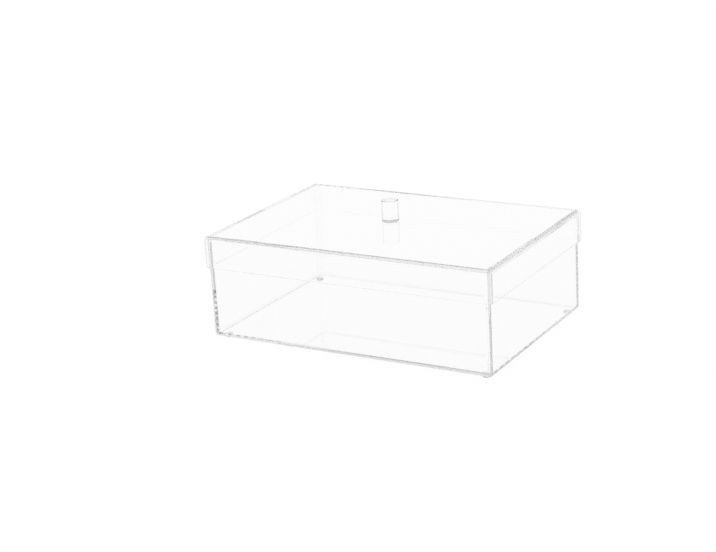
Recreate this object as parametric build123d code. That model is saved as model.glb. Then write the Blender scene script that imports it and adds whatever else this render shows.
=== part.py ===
"""Clear acrylic storage box: a moulded open box, a lift-off lid with a deep skirt, a round
cemented knob and four small stick-on feet. Millimetres. +X runs along the long side, -Y is the
front and +Z is up. The origin is under the middle of the closed box, on the table."""
import os

from build123d import *

os.makedirs("parts", exist_ok=True)

# Lid, measured over its outside
lid_length = 250.0
lid_width = 170.0
lid_height = 25.8
lid_plate = 2.5
lid_wall = 2.2
lid_corner = 4.6
lid_edge = 4.4

# Box under the lid
body_height = 80.8
body_wall = 3.5
body_floor = 2.5
body_corner = 2.9
body_edge = 2.8
body_inside_round = 1.5

# Fit of the lid over the box: the air all round, and how both rims are eased
skirt_gap = 0.3
rim_ease = 0.5
skirt_ease = 0.5

# Knob, a rod with eased ends, cemented a little to the left and back of the middle
knob_diameter = 13.2
knob_height = 17.4
knob_ease = 0.4
knob_x = -4.0
knob_y = 3.0

# Feet, discs stuck by hand under the flat of the floor, and how far in from the box's two nearest
# sides each one is centred
foot_diameter = 6.0
foot_height = 1.5
foot_ease = 0.3
front_left_in_x = 10.5
front_left_in_y = 7.3
front_right_in_x = 7.1
front_right_in_y = 6.4
back_left_in_x = 7.4
back_left_in_y = 11.0
back_right_in_x = 7.5
back_right_in_y = 14.2

# How far a cutting shape runs past the open side that it cuts
overrun = 5.0

# Sizes and levels that follow from the ones above
body_length = lid_length - 2 * (lid_wall + skirt_gap)
body_width = lid_width - 2 * (lid_wall + skirt_gap)
rim_level = foot_height + body_height
lid_top_level = rim_level + lid_plate
skirt_level = lid_top_level - lid_height
skirt_inside_corner = lid_corner - lid_wall


def upright_block(length, width, height, corner):
    """A block standing on z = 0 with its four upright edges rounded."""
    block = Box(length, width, height, align=(Align.CENTER, Align.CENTER, Align.MIN))
    return fillet(block.edges().filter_by(Axis.Z), corner)


def rounded_below(block, radius):
    """The block with the edge round its underside rounded."""
    return fillet(block.faces().sort_by(Axis.Z)[0].edges(), radius)


def rounded_above(block, radius):
    """The block with the edge round its top rounded."""
    return fillet(block.faces().sort_by(Axis.Z)[-1].edges(), radius)


def make_box_body():
    """The open box: a rounded block with its inside taken out, and a softly eased rim."""
    outside = rounded_below(upright_block(body_length, body_width, body_height, body_corner), body_edge)
    inside_length = body_length - 2 * body_wall
    inside_width = body_width - 2 * body_wall
    inside_height = body_height - body_floor + overrun
    inside = upright_block(inside_length, inside_width, inside_height, body_inside_round)
    inside = rounded_below(inside, body_inside_round)
    body = outside - Pos(0, 0, body_floor) * inside
    body = rounded_above(body, rim_ease)
    return Pos(0, 0, foot_height) * body


def make_lid():
    """The lid: a plate with a skirt, whose inside clears the box by the skirt gap."""
    outside = rounded_above(upright_block(lid_length, lid_width, lid_height, lid_corner), lid_edge)
    inside_length = body_length + 2 * skirt_gap
    inside_width = body_width + 2 * skirt_gap
    inside_height = lid_height - lid_plate + overrun
    inside = upright_block(inside_length, inside_width, inside_height, skirt_inside_corner)
    inside = rounded_above(inside, rim_ease)
    lid = outside - Pos(0, 0, -overrun) * inside
    lid = rounded_below(lid, skirt_ease)
    return Pos(0, 0, skirt_level) * lid


def make_disc(diameter, height, ease):
    """A round piece standing on z = 0 with both of its rims eased."""
    disc = Cylinder(diameter / 2, height, align=(Align.CENTER, Align.CENTER, Align.MIN))
    return fillet(disc.edges().filter_by(GeomType.CIRCLE), ease)


def make_knob():
    """The knob stands on the lid plate, near its middle."""
    return Pos(knob_x, knob_y, lid_top_level) * make_disc(knob_diameter, knob_height, knob_ease)


def make_foot(side_x, side_y, in_x, in_y):
    """One foot under a corner of the box, on the flat inside the rounded bottom edge."""
    x = side_x * (body_length / 2 - in_x)
    y = side_y * (body_width / 2 - in_y)
    return Pos(x, y, 0) * make_disc(foot_diameter, foot_height, foot_ease)


pieces = {"box_body": make_box_body(), "lid": make_lid(), "knob": make_knob()}
pieces["foot_front_left"] = make_foot(-1, -1, front_left_in_x, front_left_in_y)
pieces["foot_front_right"] = make_foot(1, -1, front_right_in_x, front_right_in_y)
pieces["foot_back_left"] = make_foot(-1, 1, back_left_in_x, back_left_in_y)
pieces["foot_back_right"] = make_foot(1, 1, back_right_in_x, back_right_in_y)

for name, piece in pieces.items():
    export_step(piece, f"parts/{name}.step")
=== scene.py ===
"""Clear acrylic storage box with a lift-off lid, a cemented knob and four stick-on feet, dressed
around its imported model. Metres, in the model's frame: origin on the table under the middle."""
import math

import bmesh
import bpy
from mathutils import Matrix, Vector


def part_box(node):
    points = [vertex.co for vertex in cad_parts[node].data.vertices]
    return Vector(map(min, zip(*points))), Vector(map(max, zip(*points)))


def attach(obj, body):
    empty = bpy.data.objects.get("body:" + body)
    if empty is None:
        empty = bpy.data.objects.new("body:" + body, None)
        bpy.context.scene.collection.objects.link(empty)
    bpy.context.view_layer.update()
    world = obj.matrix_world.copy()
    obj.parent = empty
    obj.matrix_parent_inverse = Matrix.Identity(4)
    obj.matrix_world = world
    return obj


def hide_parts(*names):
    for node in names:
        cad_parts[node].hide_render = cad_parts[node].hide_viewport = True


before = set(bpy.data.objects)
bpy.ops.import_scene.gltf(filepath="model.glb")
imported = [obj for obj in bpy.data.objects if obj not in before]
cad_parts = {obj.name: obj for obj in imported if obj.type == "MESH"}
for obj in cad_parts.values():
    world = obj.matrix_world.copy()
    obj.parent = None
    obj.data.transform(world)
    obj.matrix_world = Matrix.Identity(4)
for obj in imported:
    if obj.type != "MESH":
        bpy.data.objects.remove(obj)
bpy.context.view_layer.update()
scene = bpy.context.scene

# The open box: floor and 3.5 mm walls moulded in one piece of clear acrylic, with rounded
# upright corners and bottom edge. It is glass clear, so only its edges show, as thin grey lines.
MM = 0.001
BOX_WALL = 3.5 * MM
BOX_FLOOR = 2.5 * MM
BOX_CORNER = 2.9 * MM
BOX_EDGE = 2.8 * MM
BOX_INSIDE_ROUND = 1.5 * MM
RIM_EASE = 0.5 * MM
ROUND_STEPS = 12
EASE_STEPS = 6
ACRYLIC_IOR = 1.49
GREY = (0.5, 0.5, 0.5)
BOX_DEPTH = 1.5
PATCH_TINT = (0.86, 0.86, 0.84, 1)
FOOT_SPOTS = ("front_left", "front_right", "back_left", "back_right")
FOOT_EASE = 0.3 * MM
FOOT_STEPS = 48
LEVEL_SHARE = 0.1
WALL_LEAN = 0.5
SHADING_WEIGHT = 100


def clear_plastic(name, tint, density):
    """A clear plastic: a polished skin, and a body that takes a little of the light on its way."""
    material = bpy.data.materials.new(name)
    material.use_nodes = True
    nodes, links = material.node_tree.nodes, material.node_tree.links
    skin = nodes["Principled BSDF"]
    skin.inputs["Base Color"].default_value = (1, 1, 1, 1)
    skin.inputs["Roughness"].default_value = 0.0
    skin.inputs["IOR"].default_value = ACRYLIC_IOR
    skin.inputs["Transmission Weight"].default_value = 1
    depth = nodes.new("ShaderNodeVolumeAbsorption")
    depth.inputs["Color"].default_value = (*tint, 1)
    depth.inputs["Density"].default_value = density
    links.new(depth.outputs["Volume"], nodes["Material Output"].inputs["Volume"])
    return material


def rounded_block(length, width, height, corner, edge, steps):
    """A block on z = 0, open above, with rounded upright corners and bottom edge."""
    block = bmesh.new()
    bmesh.ops.create_cube(block, size=1)
    bmesh.ops.translate(block, verts=block.verts, vec=(0, 0, 0.5))
    bmesh.ops.scale(block, verts=block.verts, vec=(length, width, height))
    upright = [e for e in block.edges if abs(e.verts[0].co.z - e.verts[1].co.z) > height / 2]
    bmesh.ops.bevel(block, geom=upright, offset=corner, segments=steps, profile=0.5,
                    affect="EDGES", material=-1)
    floor = min(block.faces, key=lambda f: f.calc_center_median().z)
    bmesh.ops.bevel(block, geom=list(floor.edges), offset=edge, segments=steps, profile=0.5,
                    affect="EDGES", material=-1, clamp_overlap=False)
    roof = max(block.faces, key=lambda f: f.calc_center_median().z)
    bmesh.ops.delete(block, geom=[roof], context="FACES_ONLY")
    return block


def join_into(target, source):
    """Moves everything in one bmesh into another."""
    carrier = bpy.data.meshes.new("carrier")
    source.to_mesh(carrier)
    source.free()
    target.from_mesh(carrier)
    bpy.data.meshes.remove(carrier)


def moulded_tray(outside, inside, floor, height, ease):
    """An open tray of two rounded blocks, joined by a rim whose two edges are eased."""
    length, width, corner, edge = outside
    tray = rounded_block(length, width, height, corner, edge, ROUND_STEPS)
    length, width, corner, edge = inside
    hollow = rounded_block(length, width, height - floor, corner, edge, ROUND_STEPS)
    bmesh.ops.reverse_faces(hollow, faces=hollow.faces)
    bmesh.ops.translate(hollow, verts=hollow.verts, vec=(0, 0, floor))
    join_into(tray, hollow)
    rim = [e for e in tray.edges if e.is_boundary]
    bmesh.ops.bridge_loops(tray, edges=rim)
    rim = [e for e in tray.edges if all(abs(v.co.z - height) < LEVEL_SHARE * ease for v in e.verts)]
    rim = [e for e in rim if any(abs(f.normal.z) < WALL_LEAN for f in e.link_faces)]
    bmesh.ops.bevel(tray, geom=rim, offset=ease, segments=EASE_STEPS, profile=0.5,
                    affect="EDGES", material=-1, clamp_overlap=False)
    bmesh.ops.recalc_face_normals(tray, faces=tray.faces)
    return tray


def finished(name, shape, materials, body, node):
    """Turns a bmesh into a piece that rides on a body and stands for a node."""
    for face in shape.faces:
        face.smooth = True
    mesh = bpy.data.meshes.new(name)
    shape.to_mesh(mesh)
    shape.free()
    piece = bpy.data.objects.new(name, mesh)
    scene.collection.objects.link(piece)
    for material in materials:
        mesh.materials.append(material)
    shading = piece.modifiers.new("even_shading", "WEIGHTED_NORMAL")
    shading.mode = "FACE_AREA"
    shading.weight = SHADING_WEIGHT
    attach(piece, body)
    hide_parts(node)
    return piece


def patched_underside(tray, spots):
    """Lets a round patch into the flat underside over each foot, for the face stuck there."""
    under = min(tray.faces, key=lambda f: f.calc_center_median().z)
    level = under.verts[0].co.z
    outline = list(under.edges)
    bmesh.ops.delete(tray, geom=[under], context="FACES_ONLY")
    for low, high in spots:
        spot = Matrix.Translation(((low.x + high.x) / 2, (low.y + high.y) / 2, level))
        ring = bmesh.ops.create_circle(tray, cap_ends=True, segments=FOOT_STEPS, matrix=spot,
                                       radius=(high.x - low.x) / 2 - FOOT_EASE)
        patch = ring["verts"][0].link_faces[0]
        patch.material_index = 1
        outline += patch.edges
    bmesh.ops.triangle_fill(tray, use_beauty=True, edges=outline)
    bmesh.ops.recalc_face_normals(tray, faces=tray.faces)


low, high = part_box("box_body")
box_length, box_width, box_height = high - low
clear_acrylic = clear_plastic("clear_acrylic", GREY, BOX_DEPTH)
outside = (box_length, box_width, BOX_CORNER, BOX_EDGE)
inside = (box_length - 2 * BOX_WALL, box_width - 2 * BOX_WALL, BOX_INSIDE_ROUND, BOX_INSIDE_ROUND)
tray = moulded_tray(outside, inside, BOX_FLOOR, box_height, RIM_EASE)
bmesh.ops.translate(tray, verts=tray.verts, vec=(0, 0, low.z))
patched_underside(tray, [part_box(f"foot_{spot}") for spot in FOOT_SPOTS])
stuck_face = bpy.data.materials.new("stuck_face")
stuck_face.use_nodes = True
nodes, links = stuck_face.node_tree.nodes, stuck_face.node_tree.links
nodes.remove(nodes["Principled BSDF"])
unbent = nodes.new("ShaderNodeBsdfTransparent")
unbent.inputs["Color"].default_value = PATCH_TINT
links.new(unbent.outputs["BSDF"], nodes["Material Output"].inputs["Surface"])
finished("clear_box", tray, [clear_acrylic, stuck_face], "box", "box_body")

# The lid: a clear plate with a skirt all round, moulded in one piece like the box. The skirt
# drops over the box with a little air, and the plate rests on the box's rim.
LID_WALL = 2.2 * MM
LID_PLATE = 2.5 * MM
LID_CORNER = 4.6 * MM
LID_EDGE = 4.4 * MM
SKIRT_CORNER = LID_CORNER - LID_WALL
SKIRT_EASE = 0.5 * MM
SEAT_AIR = 0.03 * MM
LID_DEPTH = 0.7

low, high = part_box("lid")
lid_length, lid_width, lid_height = high - low
outside = (lid_length, lid_width, LID_CORNER, LID_EDGE)
inside = (lid_length - 2 * LID_WALL, lid_width - 2 * LID_WALL, SKIRT_CORNER, RIM_EASE)
cover = moulded_tray(outside, inside, LID_PLATE, lid_height, SKIRT_EASE)
bmesh.ops.rotate(cover, verts=cover.verts, matrix=Matrix.Rotation(math.pi, 3, "X"))
bmesh.ops.translate(cover, verts=cover.verts, vec=(0, 0, high.z))
lid_acrylic = clear_plastic("lid_acrylic", GREY, LID_DEPTH)
finished("clear_lid", cover, [lid_acrylic], "lid", "lid")

# The knob: a short length of clear acrylic rod with eased ends, cemented near the middle of the
# lid. Its sides carry painted shade, a colour that darkens where they are seen edge on. At its
# foot the cement takes some of the light that would turn back there, so the foot shows as a grey
# ring.
KNOB_EASE = 0.4 * MM
KNOB_STEPS = 96
CEMENT_LOSS = 0.35
SIDE_SHADE_FROM, SIDE_SHADE_TO = 0.5, 0.9
SIDE_PAINTED_SHADE = 0.1
FOOT_FACE = -0.9
SIDE_LEAN = 0.1


def eased_disc(low, high, ease, steps):
    """A round piece between two corners of its box, with both rims eased."""
    disc = bmesh.new()
    radius = (high.x - low.x) / 2
    bmesh.ops.create_circle(disc, cap_ends=True, segments=steps, radius=radius)
    grown = bmesh.ops.extrude_face_region(disc, geom=list(disc.faces))
    raised = [v for v in grown["geom"] if isinstance(v, bmesh.types.BMVert)]
    bmesh.ops.translate(disc, verts=raised, vec=(0, 0, high.z - low.z))
    rims = [e for e in disc.edges if abs(e.verts[0].co.z - e.verts[1].co.z) < LEVEL_SHARE * ease]
    bmesh.ops.bevel(disc, geom=rims, offset=ease, segments=EASE_STEPS, profile=0.5,
                    affect="EDGES", material=-1, clamp_overlap=False)
    place = ((low.x + high.x) / 2, (low.y + high.y) / 2, low.z)
    bmesh.ops.translate(disc, verts=disc.verts, vec=place)
    bmesh.ops.recalc_face_normals(disc, faces=disc.faces)
    return disc


low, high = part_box("knob")
low.z += SEAT_AIR
knob = eased_disc(low, high, KNOB_EASE, KNOB_STEPS)
rod_acrylic = clear_plastic("rod_acrylic", GREY, LID_DEPTH)
rod_side_painted_shade = clear_plastic("rod_side_painted_shade", GREY, LID_DEPTH)
nodes, links = rod_side_painted_shade.node_tree.nodes, rod_side_painted_shade.node_tree.links
# Painted shade: the sides' colour darkens towards grey as the viewing angle turns edge on.
slant = nodes.new("ShaderNodeLayerWeight")
edge_on_shade = nodes.new("ShaderNodeMapRange")
links.new(slant.outputs["Facing"], edge_on_shade.inputs["Value"])
edge_on_shade.inputs["From Min"].default_value = SIDE_SHADE_FROM
edge_on_shade.inputs["From Max"].default_value = SIDE_SHADE_TO
edge_on_shade.inputs["To Min"].default_value = 1.0
edge_on_shade.inputs["To Max"].default_value = SIDE_PAINTED_SHADE
links.new(edge_on_shade.outputs["Result"], nodes["Principled BSDF"].inputs["Base Color"])
cement = clear_plastic("cement", GREY, LID_DEPTH)
nodes, links = cement.node_tree.nodes, cement.node_tree.links
onward = nodes.new("ShaderNodeBsdfRefraction")
onward.inputs["Roughness"].default_value = 0.0
onward.inputs["IOR"].default_value = ACRYLIC_IOR
film = nodes.new("ShaderNodeMixShader")
film.inputs["Fac"].default_value = CEMENT_LOSS
links.new(nodes["Principled BSDF"].outputs["BSDF"], film.inputs[1])
links.new(onward.outputs["BSDF"], film.inputs[2])
links.new(film.outputs["Shader"], nodes["Material Output"].inputs["Surface"])
for face in knob.faces:
    if face.normal.z < FOOT_FACE:
        face.material_index = 1
    # The upright sides take the material with the painted edge shade.
    elif abs(face.normal.z) < SIDE_LEAN:
        face.material_index = 2
finished("clear_knob", knob, [rod_acrylic, cement, rod_side_painted_shade], "lid", "knob")

# The feet: four small discs of clear soft polyurethane, stuck under the corners of the box. They
# are a little grey, and their stuck faces let light through to the box unbent.
FOOT_TINT = (0.5, 0.5, 0.46)
FOOT_DEPTH = 240.0
STUCK_FACE = 0.999

soft_clear = clear_plastic("clear_soft_feet", FOOT_TINT, FOOT_DEPTH)
for spot in FOOT_SPOTS:
    low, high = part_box(f"foot_{spot}")
    low.z += SEAT_AIR
    high.z -= SEAT_AIR
    foot = eased_disc(low, high, FOOT_EASE, FOOT_STEPS)
    for face in foot.faces:
        if face.normal.z > STUCK_FACE:
            face.material_index = 1
    finished(f"clear_foot_{spot}", foot, [soft_clear, stuck_face],
             "box", f"foot_{spot}")

# The studio floor: white paper that runs to the horizon. Straight on it is pure white, as behind
# a product shot, and seen through the acrylic it is a shade less, and it keeps the box's shadow.
FLOOR_SIZE = 12.0
PAPER_COLOUR = (0.9, 0.9, 0.9, 1)
PAPER_SHARE = 0.97
PAPER_WHITE = 1.012
PAPER_THROUGH_ACRYLIC = 0.985


def ray_kind(nodes, links):
    """1 for a camera ray, and 1 for a camera, glossy or transmission ray, as two sockets."""
    path = nodes.new("ShaderNodeLightPath")
    glossy = nodes.new("ShaderNodeMath")
    glossy.operation = "MAXIMUM"
    links.new(path.outputs["Is Camera Ray"], glossy.inputs[0])
    links.new(path.outputs["Is Glossy Ray"], glossy.inputs[1])
    seen = nodes.new("ShaderNodeMath")
    seen.operation = "MAXIMUM"
    links.new(glossy.outputs[0], seen.inputs[0])
    links.new(path.outputs["Is Transmission Ray"], seen.inputs[1])
    return path.outputs["Is Camera Ray"], seen.outputs[0]


bpy.ops.mesh.primitive_plane_add(size=FLOOR_SIZE, location=(0, 0, 0))
floor = bpy.context.object
floor.name = "studio_floor"
paper = bpy.data.materials.new("white_paper")
paper.use_nodes = True
nodes, links = paper.node_tree.nodes, paper.node_tree.links
nodes.remove(nodes["Principled BSDF"])
direct, seen = ray_kind(nodes, links)
matt = nodes.new("ShaderNodeBsdfDiffuse")
matt.inputs["Color"].default_value = PAPER_COLOUR
glow = nodes.new("ShaderNodeEmission")
level = nodes.new("ShaderNodeMath")
level.operation = "MULTIPLY_ADD"
links.new(direct, level.inputs[0])
level.inputs[1].default_value = PAPER_WHITE - PAPER_THROUGH_ACRYLIC
level.inputs[2].default_value = PAPER_THROUGH_ACRYLIC
links.new(level.outputs[0], glow.inputs["Strength"])
share = nodes.new("ShaderNodeMath")
share.operation = "MULTIPLY"
links.new(seen, share.inputs[0])
share.inputs[1].default_value = PAPER_SHARE
mix = nodes.new("ShaderNodeMixShader")
links.new(share.outputs[0], mix.inputs["Fac"])
links.new(matt.outputs[0], mix.inputs[1])
links.new(glow.outputs[0], mix.inputs[2])
links.new(mix.outputs[0], nodes["Material Output"].inputs["Surface"])
floor.data.materials.append(paper)

# The studio light: a level white dome with a greyer ring high up, where a studio has its dark
# ceiling. The ring is what draws the grey lines along the acrylic's rounded edges.
DOME = ((0.0, 0.985), (0.55, 0.985), (0.62, 0.05), (0.78, 0.05), (0.86, 0.985))

world = bpy.data.worlds.new("studio_light")
scene.world = world
world.use_nodes = True
nodes, links = world.node_tree.nodes, world.node_tree.links
direction = nodes.new("ShaderNodeTexCoord")
split = nodes.new("ShaderNodeSeparateXYZ")
links.new(direction.outputs["Generated"], split.inputs[0])
ramp = nodes.new("ShaderNodeValToRGB")
links.new(split.outputs["Z"], ramp.inputs[0])
stops = ramp.color_ramp.elements
for number, (height, light) in enumerate(DOME):
    stop = stops[number] if number < 2 else stops.new(height)
    stop.position = height
    stop.color = (light, light, light, 1)
links.new(ramp.outputs[0], nodes["Background"].inputs["Color"])

# The camera, a long lens a little above the box and turned a little round its front right, at
# the photograph's own angle, distance and slight tilt.
FOCAL_PX = 1676.0
IMAGE_WIDTH_PX = 716
SENSOR = 36.0
AZIMUTH, ELEVATION, ROLL = 30.887, 18.220, -3.275
AIM = Vector((14.983, -83.773, 68.259)) * MM
DISTANCE = 1251.27 * MM
NEAREST, FARTHEST = 0.01, 50.0

lens = bpy.data.cameras.new("camera")
lens.sensor_width = SENSOR
lens.lens = SENSOR * FOCAL_PX / IMAGE_WIDTH_PX
lens.clip_start, lens.clip_end = NEAREST, FARTHEST
camera = bpy.data.objects.new("camera", lens)
scene.collection.objects.link(camera)
a, e, r = (math.radians(v) for v in (AZIMUTH, ELEVATION, ROLL))
back = Vector((math.sin(a) * math.cos(e), -math.cos(a) * math.cos(e), math.sin(e)))
right = Vector((math.cos(a), math.sin(a), 0))
up = back.cross(right)
side = math.cos(r) * right + math.sin(r) * up
top = -math.sin(r) * right + math.cos(r) * up
turn = Matrix((side, top, back)).transposed()
camera.matrix_world = Matrix.Translation(AIM + back * DISTANCE) @ turn.to_4x4()
scene.camera = camera

# How the picture is taken: plain colours, and enough bounces for the light that runs round
# inside the walls to find its way out again, or the edges turn black.
BOUNCES = 512

scene.view_settings.view_transform = "Standard"
scene.cycles.max_bounces = BOUNCES
scene.cycles.transmission_bounces = BOUNCES
scene.cycles.glossy_bounces = BOUNCES
scene.cycles.transparent_max_bounces = BOUNCES
